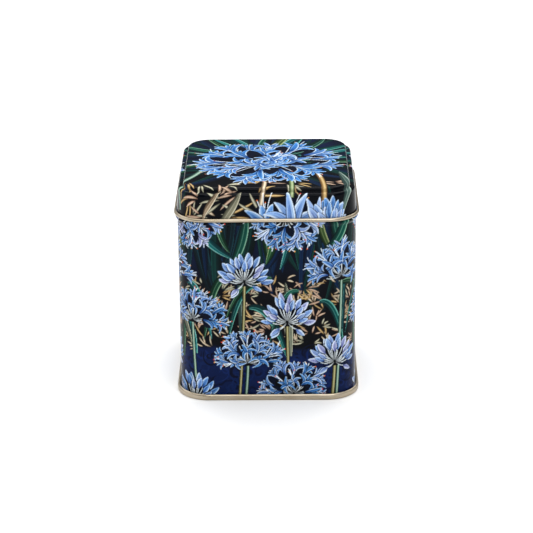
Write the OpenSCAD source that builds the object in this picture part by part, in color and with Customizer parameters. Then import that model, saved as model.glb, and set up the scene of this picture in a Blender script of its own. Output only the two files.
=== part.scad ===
// Small square spice tin with rounded corners, a slip-on lid with a raised panel,
// and a double-seamed base. +Z is up, the front faces -Y, and z = 0 is the base rim.

/* [Body] */
// Width and depth over the body wall
body_w = 64; // [50:1:90]
// Radius of the vertical corners, outside the body wall
corner_r = 10.6; // [9:0.1:15]
// Height of the lid's lower edge above the table
lid_line_z = 68.6; // [45:0.1:120]
// Thickness of the tinplate sheet
sheet = 0.3; // [0.25:0.01:0.32]

/* [Base seam] */
// Height of the double seam that holds the base end
seam_h = 2.25; // [2.1:0.05:3]
// Distance from one folded layer to the next in the seam
layer_pitch = 0.46; // [0.4:0.01:0.48]
// Height of the recessed base panel above the table
base_recess = 2.7; // [2.5:0.1:4]

/* [Mouth] */
// How far the neck steps in from the body wall
neck_inset = 0.9; // [0.8:0.05:1.1]
// Height of the neck above the lid's lower edge
neck_h = 8.6; // [6:0.1:9]
// How far the bead that stops the lid stands out from the body wall
bead_out = 0.7; // [0.5:0.05:0.8]
// Depth of the safe edge that is folded in at the mouth
hem_h = 2.2; // [1.5:0.1:3]

/* [Lid] */
// Overall height of the lid
lid_h = 11.75; // [10:0.05:16]
// How far the foot of the lid skirt stands out from the body wall
skirt_out = 0.1; // [0.1:0.05:0.4]
// Angle at which the skirt leans in towards the top, in degrees
skirt_lean = 3.2; // [0:0.2:3.6]
// Height of the raised panel above the lid's shoulder
step_h = 1.6; // [1.2:0.1:2.2]
// How far the raised panel is set in from the top of the skirt
step_inset = 1.9; // [1.7:0.1:2.5]
// Diameter of the curl rolled along the lid's lower edge
curl_d = 1.35; // [1.3:0.05:1.6]

/* [Side seam] */
// Width of the folded lock seam down the inside of the back wall
lock_w = 4; // [3:0.5:6]

/* [Hidden] */

half_w = body_w / 2;
// every piece bends round the same four corner axes
corner_axis = half_w - corner_r;
half_sheet = sheet / 2;
// centreline of the body wall's sheet
wall_u = half_w - half_sheet;
neck_u = wall_u - neck_inset;
mouth_z = lid_line_z + neck_h;
// the bead's crest is this far under the lid's lower edge
bead_drop = 0.7;
// height of the bead's long lower flank and of its short upper one
bead_rise = 1.5;
bead_fall = 1.3;
bead_foot_z = lid_line_z - bead_drop - bead_rise;
// straight start of the neck above the bead
neck_start = 0.2;
// inner radius of the folded hem's bend
hem_bend = 0.28;

skirt_u = wall_u + skirt_out;
lid_top_z = lid_line_z + lid_h;
shoulder_z = lid_top_z - step_h;
skirt_top_u = skirt_u - (shoulder_z - lid_line_z) * tan(skirt_lean);
panel_u = skirt_top_u - step_inset;
curl_bend = curl_d / 2 - half_sheet;
// the raised panel's side slopes by this angle, and runs out by this much between its bends
riser_lean = 8;
riser_run = 0.06;
// the shoulder falls outwards by this angle
shoulder_fall = 4;
// the curl's free edge stops short of the skirt
curl_end = 112;

// layers of the double seam, counted outwards from the base end's chuck wall
chuck_u = wall_u - layer_pitch;
cover_hook_u = wall_u + layer_pitch;
body_hook_u = wall_u + 2 * layer_pitch;
seam_wall_u = wall_u + 3 * layer_pitch;
// lowest point of the body hook's bend, above the lining compound
body_hook_z = 0.62;
hook_overlap = 0.75;
seam_corner = 0.45;

// width of flat panel that is swept with the edge of the lid and of the base end
lid_margin = 3;
base_margin = 2;
// the flat plate in the middle overlaps the swept edge by this much
plate_overlap = 0.1;

function at_angle(centre, radius, angle) = centre + radius * [cos(angle), sin(angle)];

// points along an arc, both ends included
function arc(centre, radius, from, to, steps = 8) =
    [for (i = [0 : steps]) at_angle(centre, radius, from + (to - from) * i / steps)];

function unit(v) = v / norm(v);

// direction of a path at one of its points
function heading(path, i) =
    unit(path[min(i + 1, len(path) - 1)] - path[max(i - 1, 0)]);

function side_point(path, i, distance) =
    path[i] + distance * [-heading(path, i)[1], heading(path, i)[0]];

// outline of a sheet of metal whose centreline is path
function sheet_outline(path) = concat(
    [for (i = [0 : len(path) - 1]) side_point(path, i, half_sheet)],
    [for (i = [len(path) - 1 : -1 : 0]) side_point(path, i, -half_sheet)]
);

// a section in (distance from the centre plane, height), carried round the square
module swept_ring(outline) {
    corner_outline = [for (p = outline) [p[0] - corner_axis, p[1]]];
    for (side = [0 : 3]) {
        rotate([0, 0, 90 * side]) {
            translate([0, corner_axis, 0])
                rotate([90, 0, 0])
                    linear_extrude(height = 2 * corner_axis)
                        polygon(outline);
            translate([corner_axis, corner_axis, 0])
                rotate_extrude(angle = 90, $fn = 64)
                    polygon(corner_outline);
        }
    }
}

// a flat plate with the tin's rounded corners, its edge at distance edge_u
module rounded_plate(edge_u, z, thickness) {
    plate_r = edge_u - corner_axis;
    translate([0, 0, z])
        linear_extrude(height = thickness)
            union() {
                square([2 * edge_u, 2 * corner_axis], center = true);
                square([2 * corner_axis, 2 * edge_u], center = true);
                for (x = [-corner_axis, corner_axis], y = [-corner_axis, corner_axis])
                    translate([x, y])
                        circle(r = plate_r, $fn = 64);
            }
}

// body hook at the foot, plain wall, lid-stop bead, neck, and the hem folded in at the mouth
function body_path() = concat(
    [[body_hook_u, body_hook_z + layer_pitch + hook_overlap]],
    arc([cover_hook_u, body_hook_z + layer_pitch], layer_pitch, 0, -180),
    bead_path(),
    [[neck_u, bead_foot_z + bead_rise + bead_fall + neck_start]],
    arc([neck_u - hem_bend, mouth_z - half_sheet - hem_bend], hem_bend, 0, 180),
    [[neck_u - 2 * hem_bend, mouth_z - hem_h]]
);

// an S out to the crest and a longer S back in to the neck
function bead_path() = let (
    crest_z = bead_foot_z + bead_rise,
    crest_u = wall_u + bead_out,
    steps = 8
) concat(
    [for (i = [0 : steps])
        [wall_u + (crest_u - wall_u) * (1 - cos(180 * i / steps)) / 2,
         bead_foot_z + bead_rise * i / steps]],
    [for (i = [1 : steps])
        [crest_u + (neck_u - crest_u) * (1 - cos(180 * i / steps)) / 2,
         crest_z + bead_fall * i / steps]]
);

module lock_seam() {
    seam_depth = 2 * sheet;
    end_gap = 0.5;
    seam_foot = base_recess + end_gap;
    seam_top = bead_foot_z - end_gap;
    translate([-lock_w / 2, half_w - sheet - seam_depth, seam_foot])
        cube([lock_w, seam_depth + half_sheet, seam_top - seam_foot]);
}

module lock_groove() {
    groove_w = 0.3;
    groove_depth = 0.1;
    end_gap = 0.4;
    groove_foot = seam_h + end_gap;
    groove_top = bead_foot_z - end_gap;
    translate([lock_w / 2 - groove_w, half_w - groove_depth, groove_foot])
        cube([groove_w, 2 * groove_depth, groove_top - groove_foot]);
}

module body_wall() {
    color("midnightblue")
        difference() {
            union() {
                swept_ring(sheet_outline(body_path()));
                lock_seam();
            }
            lock_groove();
        }
}

// recessed panel's edge, chuck wall, seaming panel under the rim, outer wall and cover hook
function base_path() = concat(
    [[chuck_u - base_margin, base_recess]],
    arc([chuck_u - seam_corner, base_recess - seam_corner], seam_corner, 90, 0),
    arc([chuck_u + seam_corner, half_sheet + seam_corner], seam_corner, 180, 270),
    arc([seam_wall_u - seam_corner, half_sheet + seam_corner], seam_corner, 270, 360),
    arc([body_hook_u, seam_h - half_sheet - layer_pitch], layer_pitch, 0, 180),
    [[cover_hook_u, seam_h - half_sheet - layer_pitch - hook_overlap]]
);

module base_end() {
    color("tan")
        union() {
            swept_ring(sheet_outline(base_path()));
            rounded_plate(chuck_u - base_margin + plate_overlap, base_recess - half_sheet, sheet);
        }
}

// gasket between the seaming panel and the body hook's bend
module seam_compound() {
    clearance = 0.02;
    corner_gap = 0.3;
    inner_u = chuck_u + half_sheet + corner_gap;
    outer_u = seam_wall_u - half_sheet - corner_gap;
    low_z = sheet + clearance;
    high_z = body_hook_z - half_sheet - clearance;
    color("dimgray")
        swept_ring([[inner_u, low_z], [outer_u, low_z], [outer_u, high_z], [inner_u, high_z]]);
}

// panel edge, riser, shoulder, skirt and the curl rolled outwards
function lid_path() = let (
    edge_r = 0.8,
    ledge_r = 0.35,
    shoulder_r = 0.9
) concat(
    [[panel_u - lid_margin, lid_top_z - half_sheet]],
    arc([panel_u - edge_r, lid_top_z - half_sheet - edge_r], edge_r, 90, riser_lean),
    arc([panel_u + ledge_r + riser_run, shoulder_z - half_sheet + ledge_r], ledge_r,
        180 + riser_lean, 270 - shoulder_fall),
    arc([skirt_top_u - shoulder_r, shoulder_z - half_sheet - shoulder_r], shoulder_r,
        90 - shoulder_fall, skirt_lean),
    arc([skirt_u + curl_bend, lid_line_z + curl_d / 2], curl_bend, 180 + skirt_lean, 360 + curl_end, 24)
);

module lid() {
    color("midnightblue")
        union() {
            swept_ring(sheet_outline(lid_path()));
            rounded_plate(panel_u - lid_margin + plate_overlap, lid_top_z - sheet, sheet);
        }
}

body_wall();
base_end();
seam_compound();
lid();
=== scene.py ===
"""Looks of a small square spice tin: printed tinplate body and lid, and a bare double-seamed base."""

import math

import bmesh
import bpy
import numpy as np
from mathutils import Matrix, Vector


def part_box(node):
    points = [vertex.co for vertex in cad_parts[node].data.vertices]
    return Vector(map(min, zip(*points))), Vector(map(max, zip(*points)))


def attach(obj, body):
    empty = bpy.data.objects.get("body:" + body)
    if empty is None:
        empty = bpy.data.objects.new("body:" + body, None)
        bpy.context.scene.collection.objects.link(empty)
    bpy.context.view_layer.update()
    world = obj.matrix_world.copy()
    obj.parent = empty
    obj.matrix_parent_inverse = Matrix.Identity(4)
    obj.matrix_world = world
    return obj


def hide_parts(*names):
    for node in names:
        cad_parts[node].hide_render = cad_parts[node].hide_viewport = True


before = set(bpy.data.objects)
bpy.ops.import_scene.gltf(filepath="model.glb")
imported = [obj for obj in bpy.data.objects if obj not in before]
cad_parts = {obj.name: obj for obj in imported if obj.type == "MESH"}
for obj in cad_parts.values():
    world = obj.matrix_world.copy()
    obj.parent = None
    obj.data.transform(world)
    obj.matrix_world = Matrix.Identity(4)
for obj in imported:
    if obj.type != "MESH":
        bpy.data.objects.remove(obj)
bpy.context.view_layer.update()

# ---------------------------------------------------------------- sizes, in mm
MM = 0.001
SHEET = 0.3  # thickness of the tinplate
HALF_SHEET = SHEET / 2
CORNER_R = 10.6  # vertical corners, outside the body wall
SEAM_H = 2.25  # double seam at the foot
LAYER = 0.46  # from one folded layer of that seam to the next
NECK_INSET = 0.9
BEAD_OUT, BEAD_DROP, BEAD_RISE, BEAD_FALL = 0.7, 0.7, 1.5, 1.3
HEM_H, HEM_BEND = 2.2, 0.28
STEP_H, STEP_INSET = 1.6, 1.9
CURL_D, CURL_END = 1.35, 112
SKIRT_LEAN, RISER_LEAN, SHOULDER_FALL = 3.2, 8, 4  # degrees
RISER_RUN = 0.06  # of the raised panel's side, between its bends
HOOK_Z, HOOK_OVERLAP, SEAM_BEND = 0.62, 0.75, 0.45
LOCK_W = 4.0  # lock seam down the inside of the back wall
FINE, COARSE = 0.2, 1.2  # spacing of points on printed and on plain surfaces
DOT = 0.1  # size of one painted dot


def lowest(node):
    return [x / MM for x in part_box(node)[0]]


def highest(node):
    return [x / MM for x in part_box(node)[1]]


wall_u = highest("base_end")[0] - HALF_SHEET - 3 * LAYER
half_w = wall_u + HALF_SHEET
corner_axis = half_w - CORNER_R
neck_u = wall_u - NECK_INSET
mouth_z = highest("body_wall")[2]
lid_line_z = lowest("lid")[2]
lid_top_z = highest("lid")[2]
base_recess = highest("base_end")[2] - HALF_SHEET
shoulder_z = lid_top_z - STEP_H
skirt_u = highest("lid")[0] - CURL_D + HALF_SHEET
skirt_top_u = skirt_u - (shoulder_z - lid_line_z) * math.tan(math.radians(SKIRT_LEAN))
panel_u = skirt_top_u - STEP_INSET
bead_z = lid_line_z - BEAD_DROP
straight = 2 * corner_axis
bend = math.pi / 2 * CORNER_R
girth = 4 * (straight + bend)


# ---------------------------------------------------------------- sections of the sheets
def arc(centre, radius, start, end, steps=14):
    turns = np.radians(np.linspace(start, end, steps))
    return [(centre[0] + radius * math.cos(t), centre[1] + radius * math.sin(t)) for t in turns]


def s_bend(start, end, steps=14):
    """From start to end, upright at both."""
    share = np.linspace(0, 1, steps)
    out = start[0] + (end[0] - start[0]) * (1 - np.cos(np.pi * share)) / 2
    return list(zip(out, start[1] + (end[1] - start[1]) * share))


def body_path():
    """Body hook, plain wall, bead, neck, and the hem folded in at the mouth."""
    crest = (wall_u + BEAD_OUT, bead_z)
    hem = (neck_u - HEM_BEND, mouth_z - HALF_SHEET - HEM_BEND)
    return (
        [(wall_u + 2 * LAYER, HOOK_Z + LAYER + HOOK_OVERLAP)]
        + arc((wall_u + LAYER, HOOK_Z + LAYER), LAYER, 0, -180)
        + s_bend((wall_u, bead_z - BEAD_RISE), crest)
        + s_bend(crest, (neck_u, bead_z + BEAD_FALL))[1:]
        + arc(hem, HEM_BEND, 0, 180)
        + [(neck_u - 2 * HEM_BEND, mouth_z - HEM_H)]
    )


def base_path():
    """Recessed panel, chuck wall, rim that it stands on, outer wall and cover hook."""
    chuck_u = wall_u - LAYER
    outer_u = wall_u + 3 * LAYER
    foot_z = HALF_SHEET + SEAM_BEND
    top = (wall_u + 2 * LAYER, SEAM_H - HALF_SHEET - LAYER)
    return (
        [(corner_axis, base_recess)]
        + arc((chuck_u - SEAM_BEND, base_recess - SEAM_BEND), SEAM_BEND, 90, 0)
        + arc((chuck_u + SEAM_BEND, foot_z), SEAM_BEND, 180, 270)
        + arc((outer_u - SEAM_BEND, foot_z), SEAM_BEND, 270, 360)
        + arc(top, LAYER, 0, 180)
        + [(wall_u + LAYER, top[1] - HOOK_OVERLAP)]
    )


def lid_path():
    """Top panel, its rounded edge, the shoulder, the skirt and the curl."""
    edge_r, ledge_r, shoulder_r = 0.8, 0.35, 0.9
    curl_r = CURL_D / 2 - HALF_SHEET
    top = lid_top_z - HALF_SHEET
    ledge = shoulder_z - HALF_SHEET
    ledge_bend = (panel_u + ledge_r + RISER_RUN, ledge + ledge_r)
    return (
        [(corner_axis, top)]
        + arc((panel_u - edge_r, top - edge_r), edge_r, 90, RISER_LEAN)
        + arc(ledge_bend, ledge_r, 180 + RISER_LEAN, 270 - SHOULDER_FALL)
        + arc((skirt_top_u - shoulder_r, ledge - shoulder_r), shoulder_r, 90 - SHOULDER_FALL, SKIRT_LEAN)
        + arc((skirt_u + curl_r, lid_line_z + CURL_D / 2), curl_r, 180 + SKIRT_LEAN, 360 + CURL_END, 40)
    )


def filled_in(path, step):
    """The path with points added so that none are further apart than step."""
    points = [np.array(path[0])]
    for a, b in zip(path, path[1:]):
        a, b = np.array(a), np.array(b)
        count = max(1, math.ceil(np.linalg.norm(b - a) / step))
        points += [a + (b - a) * k / count for k in range(1, count + 1)]
    return np.array(points)


def to_side(path, distance):
    """The path moved sideways, to its left if distance is positive."""
    heading = np.vstack([path[1] - path[0], path[2:] - path[:-2], path[-1] - path[-2]])
    heading /= np.linalg.norm(heading, axis=1)[:, None]
    return path + distance * np.stack([-heading[:, 1], heading[:, 0]], 1)


def travel(path):
    """Distance along the path to each of its points."""
    return np.concatenate([[0], np.cumsum(np.linalg.norm(np.diff(path, axis=0), axis=1))])


# ---------------------------------------------------------------- painting a flat sheet
def smooth(low, high, x):
    """0 below low, 1 above high, and a soft step between."""
    t = np.clip((x - low) / (high - low), 0, 1)
    return t * t * (3 - 2 * t)


def ridge(x, middle, width):
    """1 at middle, falling off smoothly on both sides."""
    return np.exp(-(((x - middle) / width) ** 2))


def mix(a, b, share):
    """Colour a turning into colour b as share goes from 0 to 1."""
    share = np.asarray(share)[..., None]
    return np.asarray(a) * (1 - share) + np.asarray(b) * share


class Sheet:
    """A flat sheet, in mm, that is painted before it is bent into shape."""

    def __init__(self, x_low, x_high, y_low, y_high, ground, wraps=False):
        self.low = np.array([x_low, y_low])
        self.columns = round((x_high - x_low) / DOT)
        self.rows = round((y_high - y_low) / DOT)
        self.wraps = wraps
        self.ink = np.empty((self.rows, self.columns, 3), np.float32)
        self.ink[:] = ground

    def places(self):
        """x and y of every dot."""
        x = self.low[0] + (np.arange(self.columns) + 0.5) * DOT
        y = self.low[1] + (np.arange(self.rows) + 0.5) * DOT
        return x[None], y[:, None]

    def put(self, points, colours):
        column, row = np.floor((points - self.low) / DOT).astype(int).T
        if self.wraps:
            column = column % self.columns
        inside = (row >= 0) & (row < self.rows) & (column >= 0) & (column < self.columns)
        self.ink[row[inside], column[inside]] = colours[inside]

    def sample(self, points):
        """Colours at points, blended between the four nearest dots."""
        where = (points - self.low) / DOT - 0.5
        first = np.floor(where).astype(int)
        share = where - first
        total = 0
        for right in (0, 1):
            for up in (0, 1):
                column = first[:, 0] + right
                column = column % self.columns if self.wraps else np.clip(column, 0, self.columns - 1)
                row = np.clip(first[:, 1] + up, 0, self.rows - 1)
                weight_x = share[:, 0] if right else 1 - share[:, 0]
                weight_y = share[:, 1] if up else 1 - share[:, 1]
                total = total + self.ink[row, column] * (weight_x * weight_y)[:, None]
        return total


def curve(controls, t):
    """Points on the Bezier curve with these controls, and its unit normals."""
    share = t[:, None]
    layers = [np.repeat(np.array(c, float)[None], len(t), 0) for c in controls]
    while len(layers) > 1:
        layers = [a * (1 - share) + b * share for a, b in zip(layers, layers[1:])]
    points = layers[0]
    along = np.gradient(points, axis=0)
    along /= np.linalg.norm(along, axis=1)[:, None] + 1e-9
    return points, np.stack([-along[:, 1], along[:, 0]], 1)


def stroke(sheet, controls, width, outline, shade):
    """One brush stroke along controls. Its width follows outline(t), its colour is shade(t, a).

    t runs from 0 to 1 along the stroke, and a from -1 to 1 across it."""
    reach = sum(math.dist(a, b) for a, b in zip(controls, controls[1:]))
    t = np.linspace(0, 1, max(6, int(1.7 * reach / DOT)))
    a = np.linspace(-1, 1, max(4, int(1.7 * width / DOT)))
    middle, normal = curve(controls, t)
    half = 0.5 * width * outline(t)
    points = middle[:, None] + normal[:, None] * (half[:, None] * a)[..., None]
    grid_t, grid_a = np.meshgrid(t, a, indexing="ij")
    colours = np.broadcast_to(np.clip(shade(grid_t, grid_a), 0, 1), grid_t.shape + (3,))
    sheet.put(points.reshape(-1, 2), colours.reshape(-1, 3))


def plain(colour):
    return lambda t, a: np.broadcast_to(np.array(colour), t.shape + (3,))


# outlines of strokes: how wide they are along their length
def even(t):
    return np.ones_like(t)


def bud_form(t):
    return np.sin(np.pi * t**0.72) ** 0.6 * (0.3 + 0.7 * smooth(0, 0.45, t))


def petal_form(t):
    return np.sin(np.pi * np.clip(0.05 + 0.95 * t, 0, 1) ** 0.95) ** 0.7


def blade_form(t):
    return smooth(-0.3, 0.3, t) * (1 - t**4) ** 0.8


def slip_form(t):
    return np.sin(np.pi * np.clip(0.03 + 0.97 * t, 0, 1)) ** 0.8


# ---------------------------------------------------------------- inks, as sRGB: deep, middle and pale
NIGHT = (0.012, 0.020, 0.045)
DUSK = (0.025, 0.085, 0.210)
NAVY = (0.030, 0.095, 0.255)
GAP = (0.015, 0.045, 0.120)
SCROLL_BLUES = [(0.02, 0.06, 0.18), (0.05, 0.13, 0.33), (0.015, 0.045, 0.14), (0.04, 0.115, 0.29)]
BLUES = [
    ((0.06, 0.18, 0.42), (0.24, 0.47, 0.76), (0.64, 0.79, 0.94)),
    ((0.07, 0.21, 0.46), (0.30, 0.52, 0.80), (0.69, 0.82, 0.95)),
    ((0.09, 0.22, 0.48), (0.37, 0.55, 0.82), (0.75, 0.84, 0.96)),
    ((0.05, 0.20, 0.43), (0.17, 0.45, 0.76), (0.56, 0.76, 0.94)),
]
LILACS = [
    ((0.22, 0.32, 0.57), (0.53, 0.66, 0.87), (0.87, 0.91, 0.98)),
    ((0.17, 0.31, 0.58), (0.47, 0.63, 0.87), (0.84, 0.91, 0.98)),
    ((0.28, 0.32, 0.55), (0.63, 0.67, 0.86), (0.91, 0.91, 0.98)),
]
RIM = (0.90, 0.95, 1.0)
TEALS = [
    ((0.010, 0.14, 0.15), (0.04, 0.36, 0.34), (0.50, 0.78, 0.72)),
    ((0.015, 0.13, 0.12), (0.06, 0.31, 0.26), (0.54, 0.73, 0.62)),
    ((0.015, 0.18, 0.20), (0.07, 0.42, 0.42), (0.60, 0.84, 0.80)),
]
GREENS = [
    ((0.03, 0.12, 0.07), (0.13, 0.32, 0.18), (0.60, 0.71, 0.51)),
    ((0.07, 0.13, 0.06), (0.27, 0.37, 0.20), (0.72, 0.76, 0.55)),
    ((0.02, 0.13, 0.09), (0.09, 0.28, 0.20), (0.57, 0.73, 0.58)),
]
SHADE_GREENS = [
    ((0.012, 0.065, 0.075), (0.03, 0.18, 0.17), (0.09, 0.31, 0.28)),
    ((0.015, 0.060, 0.085), (0.04, 0.15, 0.19), (0.10, 0.28, 0.32)),
    ((0.015, 0.055, 0.13), (0.03, 0.12, 0.24), (0.07, 0.23, 0.36)),
]
GREYS = [
    ((0.18, 0.20, 0.17), (0.43, 0.46, 0.39), (0.80, 0.80, 0.70)),
    ((0.14, 0.21, 0.20), (0.36, 0.46, 0.43), (0.74, 0.81, 0.76)),
]
OCHRES = [
    ((0.32, 0.23, 0.13), (0.62, 0.50, 0.30), (0.88, 0.78, 0.58)),
    ((0.34, 0.28, 0.22), (0.70, 0.62, 0.51), (0.94, 0.89, 0.79)),
    ((0.36, 0.26, 0.21), (0.66, 0.54, 0.45), (0.88, 0.79, 0.70)),
    ((0.28, 0.28, 0.23), (0.58, 0.57, 0.48), (0.86, 0.85, 0.75)),
]
STEMS = [
    ((0.20, 0.27, 0.15), (0.46, 0.54, 0.36), (0.80, 0.84, 0.68)),
    ((0.16, 0.27, 0.24), (0.42, 0.56, 0.49), (0.80, 0.88, 0.80)),
    ((0.26, 0.25, 0.14), (0.52, 0.50, 0.32), (0.82, 0.80, 0.62)),
]
STALK = (0.84, 0.88, 0.90)
ANTHERS = [(0.84, 0.22, 0.12), (0.90, 0.42, 0.16), (0.90, 0.62, 0.30)]


def pick(rng, choices):
    return choices[rng.integers(len(choices))]


def tinted(rng, inks, spread):
    """The same three inks, a little lighter or darker."""
    return [np.clip(np.array(c) * rng.uniform(1 - spread, 1 + spread), 0, 1) for c in inks]


def polar(centre, reach, angle, squash=1.0):
    return (centre[0] + reach * math.cos(angle), centre[1] + squash * reach * math.sin(angle))


def bowed(start, end, sag):
    """Controls of a stroke from start to end that bows sideways by sag times its length."""
    middle = ((start[0] + end[0]) / 2, (start[1] + end[1]) / 2)
    along = (end[0] - start[0], end[1] - start[1])
    return [start, (middle[0] - sag * along[1], middle[1] + sag * along[0]), end]


# ---------------------------------------------------------------- plant parts
# how much wider the dark shape behind a petal, and behind a leaf or stem, is than the thing itself
PETAL_GAP, LEAF_GAP = 0.55, 0.3
STALK_W = 0.2  # stalk of a single flower


def petal(sheet, rng, controls, width, inks, form):
    """A pale-edged petal or bud with darker streaks along it."""
    deep, mid, pale = tinted(rng, inks, 0.08)
    side = rng.choice([-1, 1])
    vein = rng.uniform(-0.3, 0.3)
    phase = rng.uniform(0, 2 * math.pi)
    stripes = 7 + 3 * width

    def shade(t, a):
        colour = mix(deep, mid, smooth(-0.05, 0.5, t))
        colour = mix(colour, pale, 0.55 * smooth(0.1, 1.0, side * a + 0.5 * t))
        streak = ridge(a, vein, 0.18) + 0.6 * ridge(a, -0.5 * side, 0.14)
        colour = mix(colour, deep, 0.85 * streak * (1 - smooth(0.6, 0.95, t)))
        colour = mix(colour, pale, 0.4 * np.sin(stripes * a + phase + t) ** 4 * smooth(0.15, 0.5, t))
        colour = mix(colour, deep, 0.6 * np.sin(0.5 * stripes * a - phase) ** 8 * (1 - smooth(0.6, 0.9, t)))
        edge = smooth(0.56, 0.86, np.abs(a)) * smooth(0.05, 0.3, t) * (0.65 + 0.35 * side * a)
        return mix(colour, RIM, 0.85 * np.maximum(edge, 0.8 * smooth(0.9, 0.98, t)))

    stroke(sheet, controls, width + PETAL_GAP, form, plain(GAP))
    stroke(sheet, controls, width, form, shade)


def leaf(sheet, rng, controls, width, inks, form=blade_form, edge=0.85):
    """A leaf with a pale midrib, a light and a dark half, and one pale edge."""
    deep, mid, pale = tinted(rng, inks, 0.12)
    side = rng.choice([-1, 1])
    phase = rng.uniform(0, 2 * math.pi)

    def shade(t, a):
        colour = mix(deep, mid, smooth(-0.9, 0.6, side * a + 0.45 * np.sin(3 * t + phase)))
        colour = mix(colour, deep, 0.4 * np.sin(11 * a + 2 * t + phase) ** 2)
        colour = mix(colour, pale, 0.5 * ridge(a, -0.1, 0.1))
        colour = mix(colour, pale, edge * smooth(0.66, 0.9, side * a))
        return mix(colour, deep, 0.8 * smooth(0.7, 0.95, -side * a))

    stroke(sheet, controls, width + LEAF_GAP, form, plain(NIGHT))
    stroke(sheet, controls, width, form, shade)


def slip(sheet, rng, controls, width, inks):
    """A slim dry leaf, light along the middle."""
    deep, mid, pale = tinted(rng, inks, 0.12)

    def shade(t, a):
        colour = mix(mid, pale, 0.9 * ridge(a, 0.15, 0.42))
        colour = mix(colour, deep, 0.75 * smooth(0.55, 1.0, np.abs(a)))
        return mix(deep, colour, smooth(-0.1, 0.3, t))

    stroke(sheet, controls, width, slip_form, shade)


def stem(sheet, rng, controls, width, inks=None):
    deep, mid, pale = tinted(rng, inks or pick(rng, STEMS), 0.08)

    def shade(t, a):
        colour = mix(deep, mid, smooth(-1, 0, a))
        colour = mix(colour, pale, 0.8 * ridge(a, 0.2, 0.35))
        return mix(colour, deep, smooth(0.6, 1.0, a))

    stroke(sheet, controls, width + LEAF_GAP, even, plain(NIGHT))
    stroke(sheet, controls, width, even, shade)


def hair(sheet, controls, width, colour):
    """A thin stalk or filament that is darker towards its start."""
    colour = np.array(colour)
    stroke(sheet, controls, width, even, lambda t, a: mix(0.55 * colour, colour, smooth(0, 0.6, t)))


def anther(sheet, rng, place):
    turn = rng.uniform(0, math.pi)
    half = rng.uniform(0.18, 0.3)
    ends = [polar(place, -half, turn), polar(place, half, turn)]
    stroke(sheet, ends, 0.36, slip_form, plain(pick(rng, ANTHERS)))


def shadow(sheet, start, end, width, colour=GAP):
    """A dark patch that parts a flower from what is behind it."""
    stroke(sheet, [start, end], width, slip_form, plain(colour))


def bud(sheet, rng, node, angle, near, far, inks):
    """A closed flower on its curved stalk, pointing away from the node."""
    base = polar(node, near, angle)
    if near > 0.4 * far:
        start = polar(node, 0.16 * near, angle)
        hair(sheet, bowed(start, base, -0.25 * math.cos(angle)), STALK_W, STALK)
    lean = angle + 0.25 * math.cos(angle) * (1 if math.sin(angle) > -0.2 else 0)
    tip = polar(base, far - near, lean)
    width = (far - near) * rng.uniform(0.38, 0.47)
    petal(sheet, rng, bowed(base, tip, rng.uniform(-0.1, 0.1)), width, inks, bud_form)


def bud_umbel(sheet, rng, node, size, inks, low=-0.06, high=1.06):
    """A dome of closed flowers over the node, with a few that hang below it.

    The dome fills the angles from low to high, in half turns."""
    middle = math.pi * (low + high) / 2
    shadow(sheet, polar(node, -0.15 * size, middle), polar(node, 0.8 * size, middle), 1.3 * size, NIGHT)
    for _ in range(3):
        angle = pick(rng, [rng.uniform(-0.9, -0.3), rng.uniform(-2.8, -2.2)])
        near = size * rng.uniform(0.3, 0.4)
        bud(sheet, rng, node, angle, near, near + size * rng.uniform(0.34, 0.42), pick(rng, inks))
    for near, far, count in [(0.58, 1.06, 10), (0.46, 0.92, 6), (0.36, 0.76, 3)]:
        turns = math.pi * (low + (high - low) * (np.arange(count) + 0.5) / count)
        for angle in rng.permutation(turns + rng.uniform(-0.07, 0.07, count)):
            grow = rng.uniform(0.9, 1.06) * (0.86 + 0.14 * abs(math.sin(angle)))
            bud(sheet, rng, node, angle, size * near * grow, size * far * grow, pick(rng, inks))


def floret(sheet, rng, heart, size, facing, inks, frontal):
    """An open flower: petals that leave a short tube and curl away from facing, and stamens.

    A frontal one is seen from the front, as a star."""
    spread = rng.uniform(4.6, 5.4) if frontal else rng.uniform(1.7, 2.5)
    throat = polar(heart, size * (0.05 if frontal else 0.4), facing)
    if not frontal:
        shadow(sheet, polar(heart, -0.1 * size, facing), polar(heart, 1.05 * size, facing), 1.05 * size)
    for _ in range(rng.integers(2, 5)):
        angle = facing + rng.uniform(-0.45, 0.45)
        tip = polar(heart, size * rng.uniform(1.0, 1.35), angle)
        hair(sheet, [heart, throat, polar(throat, 0.4 * size, facing), tip], 0.18, RIM)
        if rng.uniform() < 0.4:
            anther(sheet, rng, tip)
    petals = rng.integers(5, 7)
    for k in rng.permutation(petals):
        turn = spread * (k / (petals - 1) - 0.5) + rng.uniform(-0.12, 0.12)
        bent = polar(throat, 0.42 * size, facing + 0.55 * turn)
        tip = polar(throat, size * rng.uniform(0.62, 0.86), facing + 1.15 * turn)
        width = size * rng.uniform(0.19, 0.25)
        petal(sheet, rng, [heart, throat, bent, tip], width, inks, petal_form)


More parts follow.
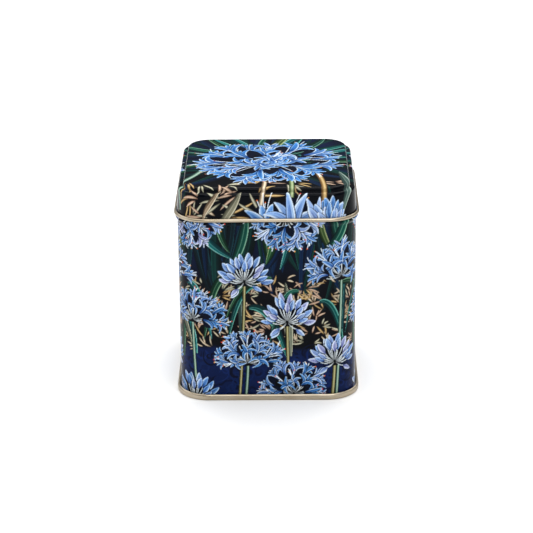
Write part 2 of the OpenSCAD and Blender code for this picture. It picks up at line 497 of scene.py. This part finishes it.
def open_umbel(sheet, rng, node, size, reach, inks=BLUES, low=-0.06, high=1.06, inner=0.3, squash=1.0):
    """Rings of open flowers round the node, each reach long, on pale stalks that show near it.

    They fill the angles from low to high, in half turns, and leave a share inner of the size bare.
    If inner is 0 there are no stalks, and two flowers seen from the front cover the middle."""
    middle = math.pi * (low + high) / 2
    shadow(sheet, polar(node, -0.1 * size, middle), polar(node, 0.9 * size, middle), 1.2 * size, NIGHT)
    hearts = []
    pace = (0.62 if inner else 0.7) * reach
    for share in np.arange(0.66 * size, inner * size, -pace) / size:
        count = max(2, round((high - low) * math.pi * share * size / pace))
        turns = math.pi * (low + (high - low) * (np.arange(count) + rng.uniform(0.35, 0.65)) / count)
        hearts += [(angle, size * share * rng.uniform(0.88, 1.1)) for angle in turns]
    if inner:
        for angle, out in hearts:
            start = polar(node, 0.1 * out, angle, squash)
            end = polar(node, out, angle, squash)
            hair(sheet, bowed(start, end, -0.2 * math.cos(angle)), STALK_W, STALK)
    else:
        hearts += [(0.3 * math.pi, 0.1 * size), (1.3 * math.pi, 0.1 * size)]
    for angle, out in hearts:
        facing = angle + rng.uniform(-0.35, 0.35)
        frontal = (out < 0.5 * size and rng.uniform() < 0.5) or out < 0.15 * size
        grown = reach * rng.uniform(0.85, 1.12)
        floret(sheet, rng, polar(node, out, angle, squash), grown, facing, pick(rng, inks), frontal)


def sprig(sheet, rng, foot, angle, size, width=0.58, count=4):
    """A tuft of slim dry leaves spread round angle."""
    inks = pick(rng, OCHRES)
    for k in range(count):
        turn = angle + 1.6 * ((k + 0.5) / count - 0.5) + rng.uniform(-0.15, 0.15)
        start = polar(foot, size * rng.uniform(0.1, 0.3), turn)
        tip = polar(foot, size * rng.uniform(0.75, 1.15), turn)
        slip(sheet, rng, bowed(start, tip, rng.uniform(-0.22, 0.22)), width * rng.uniform(0.85, 1.2), inks)


def scrolls(sheet, rng, low, high, pace):
    """Tone-on-tone scrolls between two heights."""
    x = sheet.low[0]
    while x < sheet.low[0] + sheet.columns * DOT:
        centre = (x, rng.uniform(low, high))
        size = rng.uniform(1.5, 4.5)
        start = rng.uniform(0, 2 * math.pi)
        way = rng.choice([-1, 1])
        turns = np.linspace(0, 1.5, 6)
        controls = [polar(centre, size * (1.2 - 0.5 * t), start + way * 3.6 * t) for t in turns]
        stroke(sheet, controls, rng.uniform(0.5, 1.1), slip_form, plain(pick(rng, SCROLL_BLUES)))
        x += rng.uniform(0.6, 1.4) * pace


# ---------------------------------------------------------------- the print on the body
BAND_TOP = 20.0  # the royal blue band at the foot ends about here
SPRIGS_TOP = 47.0  # and the dry leaves above it here
HEAD_COLUMNS = 14  # columns of flower heads round the tin
HEAD_RISE = 30.0  # from one head to the next above it
HANG_Z = 56.0  # heads above this hang from under the lid


def paint_ground(sheet, rng):
    """Night sky colour above, royal blue with scrolls below."""
    x, z = sheet.places()
    turn = 2 * math.pi * x / girth
    edge = BAND_TOP + 1.3 * np.sin(9 * turn + 1) + 0.6 * np.sin(23 * turn)
    dusk = 0.5 + 0.5 * np.sin(13 * turn + z / 5) * np.sin(5 * turn - z / 7)
    ground = mix(NIGHT, DUSK, dusk * smooth(38, 60, z))
    sheet.ink[:] = mix(ground, NAVY, 1 - smooth(-1.2, 1.2, z - edge))
    scrolls(sheet, rng, 3, BAND_TOP - 2, 0.55)


def paint_shade_leaves(sheet, rng):
    """Dark leaves behind everything, hanging into the middle from under the lid."""
    for x in np.arange(sheet.low[0], sheet.low[0] + girth, 1.7):
        top = rng.uniform(66, 76)
        foot = rng.uniform(34, 52)
        x += rng.uniform(-1, 1)
        lean = rng.uniform(-9, 9)
        controls = [(x, top), (x + rng.uniform(-2, 2), (top + foot) / 2), (x + lean, foot)]
        leaf(sheet, rng, controls, rng.uniform(2.0, 3.8), pick(rng, SHADE_GREENS), edge=0.5)


def paint_sprigs(sheet, rng, low, high, pace):
    for z in np.arange(low, high, pace):
        for x in np.arange(sheet.low[0], sheet.low[0] + girth, pace):
            foot = (x + rng.uniform(-2, 2), z + rng.uniform(-2, 2))
            sprig(sheet, rng, foot, rng.uniform(-0.2, 3.3), rng.uniform(3.8, 6.0), count=rng.integers(2, 5))


def paint_blades(sheet, rng, middle):
    """Long leaves of one face: some that rise, some that hang from under the lid, and some
    that arch across the middle."""
    for x in (-26, -9, 8, 27):
        x += middle
        foot = rng.uniform(14, 24)
        lean = rng.uniform(-13, 13)
        rise = rng.uniform(18, 30)
        controls = [(x, foot), (x + 0.1 * lean, foot + 0.6 * rise), (x + lean, foot + rise)]
        leaf(sheet, rng, controls, rng.uniform(1.8, 2.8), pick(rng, TEALS + GREENS + GREYS))
    top = round(lid_line_z) + 2
    for x in (-30, -24, -17, -9, -2, 4, 10, 17, 25):
        x += middle + rng.uniform(-2, 2)
        lean = rng.uniform(-18, 18)
        drop = rng.uniform(12, 24)
        controls = [(x, top), (x + 0.1 * lean, top - 0.6 * drop), (x + lean, top - drop)]
        leaf(sheet, rng, controls, rng.uniform(2.0, 3.4), pick(rng, TEALS + GREENS))
    for x, z in ((-24, 41), (-16, 47), (-7, 36), (-3, 44), (3, 47), (12, 42), (20, 38), (28, 45)):
        x += middle + rng.uniform(-2, 2)
        reach = rng.choice([-1, 1]) * rng.uniform(8, 17)
        drop = rng.uniform(15, 24)
        controls = [(x, z), (x + 0.6 * reach, z + 2), (x + reach, z - drop)]
        leaf(sheet, rng, controls, rng.uniform(2.0, 3.0), pick(rng, TEALS + GREENS + GREYS))


def flower_heads(rng):
    """Flower heads in a half-drop repeat round the whole tin, as (x, height, size, kind).

    Those that come near the lid hang from under it."""
    heads = []
    for column in range(HEAD_COLUMNS):
        x = (column + 0.5) * girth / HEAD_COLUMNS - girth / 2
        for row in range(3 if column % 2 else 2):
            z = (1 if column % 2 else 16) + row * HEAD_RISE + rng.uniform(-2, 2)
            kind = "open" if (row + column // 2) % 2 else "buds"
            size = rng.uniform(11, 12.5) if kind == "open" else rng.uniform(10, 11)
            if z > HANG_Z:
                z, kind = lid_line_z + 2, "hanging"
            heads.append((x + rng.uniform(-2, 2), z, size, kind))
    return heads


def paint_heads(sheet, rng):
    heads = flower_heads(rng)
    for x, z, size, kind in heads:
        if kind != "hanging":
            sway = rng.uniform(-2.5, 2.5)
            controls = [(x, z), (x + 0.2 * sway, z / 2), (x + sway, -1)]
            stem(sheet, rng, controls, rng.uniform(0.9, 1.2))
    for x, z, size, kind in heads:
        if kind == "buds":
            bud_umbel(sheet, rng, (x, z), size, pick(rng, [LILACS, LILACS + BLUES[2:3], LILACS + BLUES]))
        elif kind == "open":
            open_umbel(sheet, rng, (x, z), size, 0.44 * size)
        else:
            open_umbel(sheet, rng, (x, z), size, 0.46 * size, BLUES + LILACS, -1.1, 0.1)


def painted_body():
    rng = np.random.default_rng(7)
    sheet = Sheet(-girth / 2, girth / 2, 0, lid_line_z + 2, NIGHT, wraps=True)
    paint_ground(sheet, rng)
    paint_shade_leaves(sheet, rng)
    paint_sprigs(sheet, rng, BAND_TOP + 1, SPRIGS_TOP, 4.0)
    for side in range(4):
        paint_blades(sheet, rng, (side - 2) * girth / 4)
    paint_heads(sheet, rng)
    return sheet


# ---------------------------------------------------------------- the print on the lid
LID_EDGE = 44.0  # about how far the flattened lid reaches from its middle


def painted_lid():
    """The lid flattened: the skirt goes on outwards from the top panel."""
    rng = np.random.default_rng(11)
    reach = corner_axis + travel(filled_in(lid_path(), FINE)).max()
    sheet = Sheet(-reach, reach, -reach, reach, NIGHT)
    x, y = sheet.places()
    dusk = smooth(-12, 10, y + 3 * np.sin(x / 6)) * (0.7 + 0.3 * np.sin(x / 4 + y / 7))
    sheet.ink[:] = mix(NIGHT, DUSK, dusk)
    paint_lid_leaves(sheet, rng)
    paint_lid_front(sheet, rng)
    paint_lid_sides(sheet, rng)
    open_umbel(sheet, rng, (0, 0), 24.5, 9.4, BLUES[:1] + BLUES[3:], 0, 2, 0.0, 0.86)
    return sheet


def paint_lid_leaves(sheet, rng):
    """Leaves that spread from the middle: dark ones behind, and lighter ones towards the back."""
    front_y = -(panel_u + 4)
    for angle in np.arange(0, 2 * math.pi, 0.085):
        foot = polar((0, 0), rng.uniform(14, 24), angle + rng.uniform(-0.05, 0.05))
        tip = polar(foot, rng.uniform(18, 30), angle + rng.uniform(-0.5, 0.5))
        if tip[1] > front_y:
            controls = bowed(foot, tip, rng.uniform(-0.15, 0.15))
            leaf(sheet, rng, controls, rng.uniform(2.2, 3.8), pick(rng, SHADE_GREENS), edge=0.5)
    for angle in np.arange(-0.2, math.pi + 0.2, 0.24):
        foot = polar((0, 2), rng.uniform(12, 18), angle + rng.uniform(-0.05, 0.05))
        tip = polar(foot, rng.uniform(20, 28), angle + rng.uniform(-0.45, 0.45))
        controls = bowed(foot, tip, rng.uniform(-0.2, 0.2))
        leaf(sheet, rng, controls, rng.uniform(2.6, 4.6), pick(rng, TEALS + GREENS))


def paint_lid_front(sheet, rng):
    """Dry leaves on the left, large flowers on the right, and stems over the step."""
    for x in np.arange(-27, 26, 5.5):
        foot = (x + rng.uniform(-2, 2), -24 + rng.uniform(-2, 2))
        sprig(sheet, rng, foot, rng.uniform(-3.0, 3.0), rng.uniform(6.0, 8.0), 0.9, 3)
    for x in np.arange(-29, -1, 5.2):
        for y in (-33, -40):
            foot = (x + rng.uniform(-2, 2), y + rng.uniform(-1.5, 1.5))
            sprig(sheet, rng, foot, rng.uniform(-0.6, 3.6), rng.uniform(8.0, 11.0), 0.95, 3)
    for foot, tip, inks in (
        ((-1, -14), (-5, -46), OCHRES[1]),
        ((8, -14), (7, -46), STEMS[0]),
        ((18, -12), (20, -38), OCHRES[0]),
        ((-23, -8), (-37, -30), STEMS[1]),
    ):
        stem(sheet, rng, bowed(foot, tip, rng.uniform(0.08, 0.18)), rng.uniform(1.6, 2.1), inks)
    for foot, tip, width, inks in (
        ((-9, -31), (-18, -45), 2.6, OCHRES[3]),
        ((-16, -30), (-25, -44), 1.8, OCHRES[1]),
        ((26, -12), (31, -40), 3.2, GREYS[1]),
    ):
        leaf(sheet, rng, bowed(foot, tip, rng.uniform(-0.12, 0.12)), width, inks, slip_form)
    large_inks = LILACS[:2] + BLUES[:2]
    base_y = -(LID_EDGE + 6)
    for x, size, lean in ((15, 14, -0.35), (2, 14, 0.3), (9, 16, 0.0)):
        floret(sheet, rng, (x, base_y), size, math.pi / 2 + lean, pick(rng, large_inks), False)
    bud_umbel(sheet, rng, (25, base_y), 16, large_inks, 0.24, 0.76)


def paint_lid_sides(sheet, rng):
    """Open flowers along the right, the back and the left of the skirt."""
    for half_turns in (0.5, 1.0, 1.5):
        angle = half_turns * math.pi
        for x in (-15, -1, 14):
            side_x = x + rng.uniform(-2, 2)
            foot_x = side_x * math.cos(angle) + LID_EDGE * math.sin(angle)
            foot_y = side_x * math.sin(angle) - LID_EDGE * math.cos(angle)
            size = rng.uniform(9, 12)
            open_umbel(sheet, rng, (foot_x, foot_y), size, 4.8, BLUES + LILACS, half_turns, half_turns + 1)


# ---------------------------------------------------------------- bending the sheets round the tin
PRINTED, BARE = 0, 1  # material slots of each piece


def columns_round_the_tin():
    """Each column's place on the square of corner axes, its way out, and its distance round the
    wall from the middle of the front."""
    anchors, ways, rounds = [], [], []
    on_side = np.arange(math.ceil(straight / FINE)) / math.ceil(straight / FINE)
    on_corner = np.arange(math.ceil(bend / FINE)) / math.ceil(bend / FINE)
    angle = (on_corner - 1) * math.pi / 2
    for side in range(4):
        turn = math.radians(90 * side)
        spin = np.array([[math.cos(turn), math.sin(turn)], [-math.sin(turn), math.cos(turn)]])
        begun = side * (straight + bend) - straight / 2
        side_x = (on_side - 0.5) * straight
        anchors.append(np.column_stack([side_x, np.full(len(side_x), -corner_axis)]) @ spin)
        ways.append(np.tile([0.0, -1.0], (len(side_x), 1)) @ spin)
        rounds.append(begun + on_side * straight)
        anchors.append(np.tile([corner_axis, -corner_axis], (len(angle), 1)) @ spin)
        ways.append(np.column_stack([np.cos(angle), np.sin(angle)]) @ spin)
        rounds.append(begun + straight + on_corner * bend)
    return np.vstack(anchors), np.vstack(ways), np.concatenate(rounds)


anchors, ways, rounds = columns_round_the_tin()
RING = len(anchors)


def swept(section):
    """A section in (distance from the centre planes, height), carried round the tin, ring by ring."""
    flat = anchors[None] + (section[:, 0, None, None] - corner_axis) * ways[None]
    height = np.broadcast_to(section[:, 1, None, None], flat.shape[:2] + (1,))
    return np.concatenate([flat, height], -1).reshape(-1, 3)


def ring_faces(rows, closed):
    """Faces between each ring and the next, and from the last ring to the first if closed."""
    low = np.arange(rows if closed else rows - 1)[:, None] * RING
    high = (low + RING) % (rows * RING)
    here = np.arange(RING)[None]
    following = (here + 1) % RING
    return np.stack([low + here, low + following, high + following, high + here], -1).reshape(-1, 4)


def grid_cap(z):
    """Points and faces of the square between the corner axes, fine enough to print on."""
    count = math.ceil(straight / FINE)
    line = (np.arange(count + 1) / count - 0.5) * straight
    x, y = np.meshgrid(line, line)
    points = np.column_stack([x.ravel(), y.ravel(), np.full(x.size, z)])
    corner = (np.arange(count)[:, None] * (count + 1) + np.arange(count)[None]).ravel()
    return points, np.stack([corner, corner + 1, corner + count + 2, corner + count + 1], -1)


def linear(colours):
    return np.where(colours <= 0.04045, colours / 12.92, ((colours + 0.055) / 1.055) ** 2.4)


def make_piece(name, points, faces, slots, inks, materials):
    """A mesh object from points in mm, faces, the material slot of each face, and the points' inks."""
    mesh = bpy.data.meshes.new(name)
    mesh.from_pydata((points * MM).tolist(), [], faces)
    mesh.polygons.foreach_set("material_index", np.array(slots, np.int32))
    mesh.polygons.foreach_set("use_smooth", np.ones(len(faces), bool))
    layer_of_ink = mesh.color_attributes.new("print", "FLOAT_COLOR", "POINT")
    layer_of_ink.data.foreach_set("color", np.column_stack([linear(inks), np.ones(len(inks))]).ravel())
    weld = bmesh.new()
    weld.from_mesh(mesh)
    bmesh.ops.remove_doubles(weld, verts=weld.verts, dist=1e-6)
    weld.to_mesh(mesh)
    weld.free()
    for material in materials:
        mesh.materials.append(material)
    piece = bpy.data.objects.new(name, mesh)
    bpy.context.scene.collection.objects.link(piece)
    return piece


def build_body():
    outer = to_side(filled_in(body_path(), FINE), -HALF_SHEET)
    inner = to_side(filled_in(body_path(), COARSE), HALF_SHEET)[::-1]
    points = swept(np.vstack([outer, inner]))
    faces = ring_faces(len(outer) + len(inner), closed=True)
    rows = np.arange(len(outer) + len(inner))
    height = np.append(outer[:, 1], np.full(len(inner), mouth_z))
    bare = (rows >= len(outer) - 1) | (height > bead_z + 0.5 * BEAD_FALL)
    slots = np.repeat(np.where(bare, BARE, PRINTED), RING)
    sheet = painted_body()
    inks = np.zeros((len(points), 3))
    printed = len(outer) * RING
    flat = np.column_stack([np.tile(rounds, len(outer)), np.repeat(outer[:, 1], RING)])
    inks[:printed] = sheet.sample(flat)
    dent_lock_groove(points[:printed])
    strip_points, strip_faces = lock_strip()
    strip_faces = [[i + len(points) for i in face] for face in strip_faces]
    points = np.vstack([points, strip_points])
    inks = np.vstack([inks, np.zeros_like(strip_points)])
    slots = np.append(slots, [BARE] * len(strip_faces))
    return make_piece("tin_body", points, faces.tolist() + strip_faces, slots, inks,
                      [printed_lacquer(), bare_tinplate()])


def dent_lock_groove(points):
    """The fine vertical line on the back where the wall's two edges meet."""
    depth, half_width, end_gap = 0.1, 0.15, 0.4
    x, y, z = points.T
    off_line = np.abs(x - (LOCK_W / 2 - half_width))
    on_wall = (y > half_w - 0.01) & (z > SEAM_H + end_gap) & (z < bead_z - BEAD_RISE)
    points[:, 1] -= depth * on_wall * (1 - smooth(0, 2 * half_width, off_line))


def lock_strip():
    """The folded lock seam that stands proud inside the back wall, as a rounded strip."""
    proud, edge_r = 2 * SHEET, 0.2
    inside = half_w - SHEET
    low, high = base_recess + 0.5, bead_z - BEAD_RISE - 0.5
    section = [(-LOCK_W / 2, inside + 0.1)]
    section += arc((-LOCK_W / 2 + edge_r, inside - proud + edge_r), edge_r, 180, 270, 5)
    section += arc((LOCK_W / 2 - edge_r, inside - proud + edge_r), edge_r, 270, 360, 5)
    section += [(LOCK_W / 2, inside + 0.1)]
    count = len(section)
    points = np.array([(x, y, z) for z in (low, high) for x, y in section])
    faces = [[i, (i + 1) % count, (i + 1) % count + count, i + count] for i in range(count)]
    return points, faces + [list(range(count))[::-1], list(range(count, 2 * count))]


def build_lid():
    path = filled_in(lid_path(), FINE)
    outer = to_side(path, HALF_SHEET)[::-1]
    inner = to_side(filled_in(lid_path(), COARSE), -HALF_SHEET)
    rows = len(inner) + len(outer)
    cap_points, cap_faces = grid_cap(lid_top_z)
    points = np.vstack([swept(np.vstack([inner, outer])), cap_points])
    faces = ring_faces(rows, closed=False)
    slots = np.repeat(np.where(np.arange(rows - 1) < len(inner), BARE, PRINTED), RING)
    sheet = painted_lid()
    out = travel(path)[::-1]
    flat = (anchors[None] + out[:, None, None] * ways[None]).reshape(-1, 2)
    inner_inks = np.zeros((len(inner) * RING, 3))
    inks = np.vstack([inner_inks, sheet.sample(flat), sheet.sample(cap_points[:, :2])])
    ceiling = list(range(RING))[::-1]
    every_face = faces.tolist() + (cap_faces + rows * RING).tolist() + [ceiling]
    slots = np.concatenate([slots, np.full(len(cap_faces), PRINTED), [BARE]])
    return make_piece("tin_lid", points, every_face, slots, inks, [printed_lacquer(), bare_tinplate()])


def build_base():
    outer = to_side(filled_in(base_path(), COARSE), -HALF_SHEET)
    inner = to_side(filled_in(base_path(), COARSE), HALF_SHEET)[::-1]
    rows = len(outer) + len(inner)
    points = swept(np.vstack([outer, inner]))
    faces = ring_faces(rows, closed=False).tolist()
    faces += [list(range(RING))[::-1], list(range((rows - 1) * RING, rows * RING))]
    return make_piece("tin_base", points, faces, [0] * len(faces), np.zeros_like(points), [bare_tinplate()])


# ---------------------------------------------------------------- materials
class Nodes:
    """A new material, and short ways to add nodes to it."""

    def __init__(self, name):
        self.material = bpy.data.materials.new(name)
        self.material.use_nodes = True
        self.tree = self.material.node_tree
        self.shader = self.tree.nodes["Principled BSDF"]
        self.place = self.add("ShaderNodeTexCoord").outputs["Object"]

    def add(self, kind, **settings):
        node = self.tree.nodes.new(kind)
        for name, value in settings.items():
            setattr(node, name, value)
        return node

    def link(self, out, into):
        self.tree.links.new(out, into)

    def noise(self, scale, detail=2.0, stretch=(1, 1, 1)):
        """Noise with scale features to the metre, stretched by axis."""
        mapping = self.add("ShaderNodeMapping")
        mapping.inputs["Scale"].default_value = stretch
        noise = self.add("ShaderNodeTexNoise")
        noise.inputs["Scale"].default_value = scale
        noise.inputs["Detail"].default_value = detail
        self.link(self.place, mapping.inputs["Vector"])
        self.link(mapping.outputs["Vector"], noise.inputs["Vector"])
        return noise.outputs["Fac"]

    def span(self, value, low, high):
        """value from about 0.3 to 0.7 carried to low to high."""
        spread = self.add("ShaderNodeMapRange")
        for name, number in zip(("From Min", "From Max", "To Min", "To Max"), (0.3, 0.7, low, high)):
            spread.inputs[name].default_value = number
        self.link(value, spread.inputs["Value"])
        return spread.outputs["Result"]

    def ramp(self, value, colours):
        ramp = self.add("ShaderNodeValToRGB")
        while len(ramp.color_ramp.elements) < len(colours):
            ramp.color_ramp.elements.new(0.5)
        for k, colour in enumerate(colours):
            element = ramp.color_ramp.elements[k]
            element.position = 0.3 + 0.4 * k / (len(colours) - 1)
            element.color = (*colour, 1)
        self.link(value, ramp.inputs["Fac"])
        return ramp.outputs["Color"]

    def bump(self, height, strength, distance):
        bump = self.add("ShaderNodeBump")
        bump.inputs["Strength"].default_value = strength
        bump.inputs["Distance"].default_value = distance
        self.link(height, bump.inputs["Height"])
        self.link(bump.outputs["Normal"], self.shader.inputs["Normal"])


def printed_lacquer():
    """Litho print under a clear gloss lacquer, with a faint grain in the ink."""
    nodes = Nodes("printed_lacquer")
    ink = nodes.add("ShaderNodeVertexColor", layer_name="print").outputs["Color"]
    grain = nodes.add("ShaderNodeMix", data_type="RGBA", blend_type="MULTIPLY")
    grain.inputs["Factor"].default_value = 1.0
    nodes.link(ink, grain.inputs["A"])
    nodes.link(nodes.ramp(nodes.noise(4000, 3.0), [(0.88, 0.88, 0.88), (1, 1, 1)]), grain.inputs["B"])
    nodes.link(grain.outputs["Result"], nodes.shader.inputs["Base Color"])
    nodes.link(nodes.span(nodes.noise(160, 3.0), 0.13, 0.22), nodes.shader.inputs["Roughness"])
    nodes.shader.inputs["Specular IOR Level"].default_value = 0.06
    nodes.bump(nodes.noise(700, 1.0), 0.05, 0.0002)
    return nodes.material


def bare_tinplate():
    """Warm champagne tinplate with fine rolling streaks."""
    nodes = Nodes("bare_tinplate")
    streaks = nodes.noise(900, 4.0, (0.15, 0.15, 1.0))
    clouds = nodes.noise(90, 3.0)
    mixed = nodes.add("ShaderNodeMath", operation="MULTIPLY_ADD")
    mixed.inputs[1].default_value = 0.5
    nodes.link(streaks, mixed.inputs[0])
    half_clouds = nodes.add("ShaderNodeMath", operation="MULTIPLY")
    half_clouds.inputs[1].default_value = 0.5
    nodes.link(clouds, half_clouds.inputs[0])
    nodes.link(half_clouds.outputs[0], mixed.inputs[2])
    colours = [(0.34, 0.28, 0.195), (0.43, 0.365, 0.27), (0.52, 0.45, 0.35)]
    nodes.link(nodes.ramp(mixed.outputs[0], colours), nodes.shader.inputs["Base Color"])
    nodes.link(nodes.span(streaks, 0.26, 0.36), nodes.shader.inputs["Roughness"])
    nodes.shader.inputs["Metallic"].default_value = 1.0
    nodes.bump(streaks, 0.03, 0.0001)
    return nodes.material


def lining_compound():
    """Grey rubbery sealing compound in the double seam."""
    nodes = Nodes("lining_compound")
    clouds = nodes.noise(1200, 4.0)
    greys = nodes.ramp(clouds, [(0.07, 0.075, 0.07), (0.12, 0.125, 0.115)])
    nodes.link(greys, nodes.shader.inputs["Base Color"])
    nodes.link(nodes.span(clouds, 0.6, 0.75), nodes.shader.inputs["Roughness"])
    nodes.bump(clouds, 0.2, 0.0002)
    return nodes.material


def pale_floor():
    nodes = Nodes("pale_floor")
    nodes.link(nodes.ramp(nodes.noise(30, 3.0), [(0.86, 0.86, 0.86), (0.88, 0.88, 0.88)]),
               nodes.shader.inputs["Base Color"])
    nodes.shader.inputs["Roughness"].default_value = 0.8
    nodes.shader.inputs["Specular IOR Level"].default_value = 0.1
    return nodes.material


# ---------------------------------------------------------------- camera, floor and lights
def aim(thing, at_point, roll=0.0):
    to_point = Vector(at_point) - thing.location
    turned = to_point.to_track_quat("-Z", "Y").to_matrix().to_4x4() @ Matrix.Rotation(roll, 4, "Z")
    thing.rotation_euler = turned.to_euler()


def add_camera():
    data = bpy.data.cameras.new("camera")
    data.sensor_width = 36
    data.lens = 127.2
    camera = bpy.data.objects.new("camera", data)
    bpy.context.scene.collection.objects.link(camera)
    bpy.context.scene.camera = camera
    middle = Vector((0, 0, 1.2 * half_w * MM))
    distance = 22 * half_w * MM
    pitch = math.radians(21)
    yaw = math.radians(-0.4)
    out = Vector((-math.sin(yaw) * math.cos(pitch), -math.cos(yaw) * math.cos(pitch), math.sin(pitch)))
    camera.location = middle + distance * out
    aim(camera, middle + Vector((-0.0004, 0, 0.0011)), roll=-0.009)


def add_floor():
    size = 3.0
    mesh = bpy.data.meshes.new("floor")
    corners = [(-size, -size, 0), (size, -size, 0), (size, size, 0), (-size, size, 0)]
    mesh.from_pydata(corners, [], [(0, 1, 2, 3)])
    mesh.materials.append(pale_floor())
    floor = bpy.data.objects.new("floor", mesh)
    bpy.context.scene.collection.objects.link(floor)


def add_light(name, place, at_point, width, height, power):
    data = bpy.data.lights.new(name, "AREA")
    data.shape = "RECTANGLE"
    data.size, data.size_y = width, height
    data.energy = power
    lamp = bpy.data.objects.new(name, data)
    bpy.context.scene.collection.objects.link(lamp)
    lamp.location = place
    aim(lamp, at_point)


def add_studio():
    world = bpy.data.worlds.new("studio")
    bpy.context.scene.world = world
    world.use_nodes = True
    world.node_tree.nodes["Background"].inputs["Color"].default_value = (1, 1, 1, 1)
    world.node_tree.nodes["Background"].inputs["Strength"].default_value = 0.14
    middle = (0, 0, 0.5 * lid_top_z * MM)
    add_light("overhead", (0, 0.1, 1.1), middle, 1.2, 1.2, 13)
    add_light("back_wash", (0, 1.3, 1.3), (0, 1.3, 0), 2.4, 1.2, 26)
    add_light("front_fill", (0.25, -1.0, 0.9), middle, 0.8, 0.8, 8)
    add_light("left_side", (-0.8, -0.1, 0.45), middle, 0.9, 0.8, 2.4)
    add_light("right_side", (0.8, -0.1, 0.45), middle, 0.9, 0.8, 1.2)
    bpy.context.scene.view_settings.view_transform = "Standard"


# ---------------------------------------------------------------- the scene
add_camera()
add_floor()
add_studio()

for build, node, body, slot_name in (
    (build_body, "body_wall", "tin", "printed_body"),
    (build_lid, "lid", "lid", "printed_lid"),
    (build_base, "base_end", "tin", "bare_tinplate"),
):
    piece = build()
    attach(piece, body)
    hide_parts(node)

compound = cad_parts["seam_compound"]
compound.data.materials.clear()
compound.data.materials.append(lining_compound())
